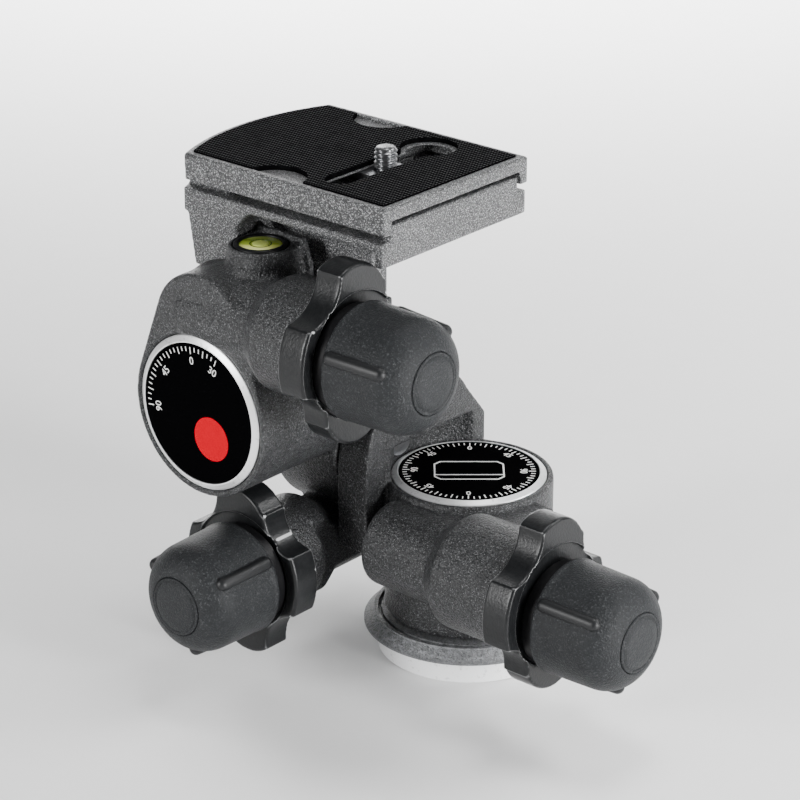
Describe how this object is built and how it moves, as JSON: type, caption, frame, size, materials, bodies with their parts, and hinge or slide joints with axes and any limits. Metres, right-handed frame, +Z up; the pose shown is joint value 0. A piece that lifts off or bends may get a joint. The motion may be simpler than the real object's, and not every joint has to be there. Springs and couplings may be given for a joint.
{
  "type": "geared tripod head",
  "caption": "Geared three-axis tripod head: three worm-drive knobs with release collars, two scale dials and a quick-release camera plate.",
  "frame": {"origin": "centre of the flat mounting face, on the pan axis", "axes": "+Z up along the pan axis, +X along the pan and roll knobs, -Y along the tilt knob"},
  "size_m": [0.1463, 0.1159, 0.1536],
  "materials": {
    "bright_alloy": "machined, bright",
    "grey_casting": "die-cast alloy, satin grey paint",
    "satin_ring": "satin turned",
    "scale_black": "satin black scale disc",
    "bronze": "machined bronze",
    "steel": "turned",
    "bright_steel": "bright",
    "black_enamel": "die-cast alloy, semi-gloss black paint",
    "knob_rubber": "fine-grained",
    "black_plastic": "matt black",
    "graphite_paint": "die-cast alloy, textured graphite paint",
    "pad_rubber": "fine diamond grain",
    "vial": "clear, yellow-green liquid"
  },
  "bodies": {
    "base": {"base_disc": "bright_alloy", "base_flange": "grey_casting", "base_screws": "steel", "pan_spindle": "steel", "pan_wheel": "bronze", "pan_nut": "steel", "pan_dial": "scale_black"},
    "pan_body": {"pan_housing": "graphite_paint", "pan_bush": "bronze", "pan_bezel": "satin_ring", "tilt_axle": "steel", "tilt_wheel": "bronze", "tilt_nut": "steel", "tilt_dial": "scale_black", "pan_release_spring": "steel"},
    "tilt_body": {"tilt_housing": "graphite_paint", "tilt_bush": "bronze", "tilt_bezel": "satin_ring", "roll_axle": "steel", "roll_wheel": "bronze", "roll_nut": "steel", "roll_dial": "scale_black", "tilt_release_spring": "steel"},
    "roll_body": {"roll_housing": "graphite_paint", "roll_bush": "bronze", "roll_bezel": "satin_ring", "platform": "graphite_paint", "platform_screws": "steel", "level_cup": "black_plastic", "level_vial": "vial", "lever_pin": "steel", "roll_release_spring": "steel"},
    "plate_body": {"quick_plate": "graphite_paint", "plate_pad": "pad_rubber"},
    "carrier_body": {"screw_carrier": "steel"},
    "camera_screw_body": {"camera_screw": "bright_steel"},
    "lever_body": {"lock_lever": "black_enamel"},
    "pan_release_body": {"pan_collar": "black_enamel", "pan_sleeve": "steel", "pan_worm_bushes": "bronze"},
    "pan_knob_body": {"pan_worm": "steel", "pan_knob_hub": "black_plastic", "pan_knob_grip": "knob_rubber", "pan_knob_cap": "knob_rubber"},
    "tilt_release_body": {"tilt_collar": "black_enamel", "tilt_sleeve": "steel", "tilt_worm_bushes": "bronze"},
    "tilt_knob_body": {"tilt_worm": "steel", "tilt_knob_hub": "black_plastic", "tilt_knob_grip": "knob_rubber", "tilt_knob_cap": "knob_rubber"},
    "roll_release_body": {"roll_collar": "black_enamel", "roll_sleeve": "steel", "roll_worm_bushes": "bronze"},
    "roll_knob_body": {"roll_worm": "steel", "roll_knob_hub": "black_plastic", "roll_knob_grip": "knob_rubber", "roll_knob_cap": "knob_rubber"}
  },
  "joints": [
    {"name": "pan_turn", "type": "hinge", "parent": "base", "child": "pan_body", "pos_m": [0, 0, 0.03], "axis": [0, 0, 1], "continuous": true},
    {"name": "front_tilt", "type": "hinge", "parent": "pan_body", "child": "tilt_body", "pos_m": [-0.0328, -0.005, 0.0595], "axis": [1, 0, 0], "range_deg": [-90, 30]},
    {"name": "side_roll", "type": "hinge", "parent": "tilt_body", "child": "roll_body", "pos_m": [-0.0381, -0.0601, 0.08365], "axis": [0, -1, 0], "range_deg": [-30, 90]},
    {"name": "plate_lift", "type": "slide", "parent": "roll_body", "child": "plate_body", "axis": [0, 0, 1], "range_m": [0, 0.03]},
    {"name": "screw_slide", "type": "slide", "parent": "plate_body", "child": "carrier_body", "axis": [0, 1, 0], "range_m": [-0.0168, 0.0162]},
    {"name": "camera_screw_turn", "type": "hinge", "parent": "carrier_body", "child": "camera_screw_body", "pos_m": [-0.0112, -0.0228, 0.146], "axis": [0, 0, 1], "continuous": true},
    {"name": "lever_swing", "type": "hinge", "parent": "roll_body", "child": "lever_body", "pos_m": [-0.038, 0.0002, 0.132], "axis": [0, 0, 1], "range_deg": [0, 105]},
    {"name": "pan_release", "type": "hinge", "parent": "pan_body", "child": "pan_release_body", "pos_m": [0, -0.0265, 0.0396], "axis": [1, 0, 0], "range_deg": [-70, 0], "stiffness_Nm_per_rad": 0.3},
    {"name": "pan_knob_turn", "type": "hinge", "parent": "pan_release_body", "child": "pan_knob_body", "pos_m": [0, -0.0265, 0.0374], "axis": [1, 0, 0], "continuous": true},
    {"name": "tilt_release", "type": "hinge", "parent": "tilt_body", "child": "tilt_release_body", "pos_m": [-0.035, 0, 0.033], "axis": [0, -1, 0], "range_deg": [-70, 0], "stiffness_Nm_per_rad": 0.3},
    {"name": "tilt_knob_turn", "type": "hinge", "parent": "tilt_release_body", "child": "tilt_knob_body", "pos_m": [-0.0328, 0, 0.033], "axis": [0, -1, 0], "range_deg": [-1440, 4320]},
    {"name": "roll_release", "type": "hinge", "parent": "roll_body", "child": "roll_release_body", "pos_m": [0, -0.0579, 0.11015], "axis": [1, 0, 0], "range_deg": [-70, 0], "stiffness_Nm_per_rad": 0.3},
    {"name": "roll_knob_turn", "type": "hinge", "parent": "roll_release_body", "child": "roll_knob_body", "pos_m": [0, -0.0601, 0.11015], "axis": [1, 0, 0], "range_deg": [-4320, 1440]}
  ],
  "couplings": [
    {"joint": "pan_knob_turn", "follows": "pan_turn", "ratio": 48},
    {"joint": "tilt_knob_turn", "follows": "front_tilt", "ratio": -48},
    {"joint": "roll_knob_turn", "follows": "side_roll", "ratio": -48}
  ]
}
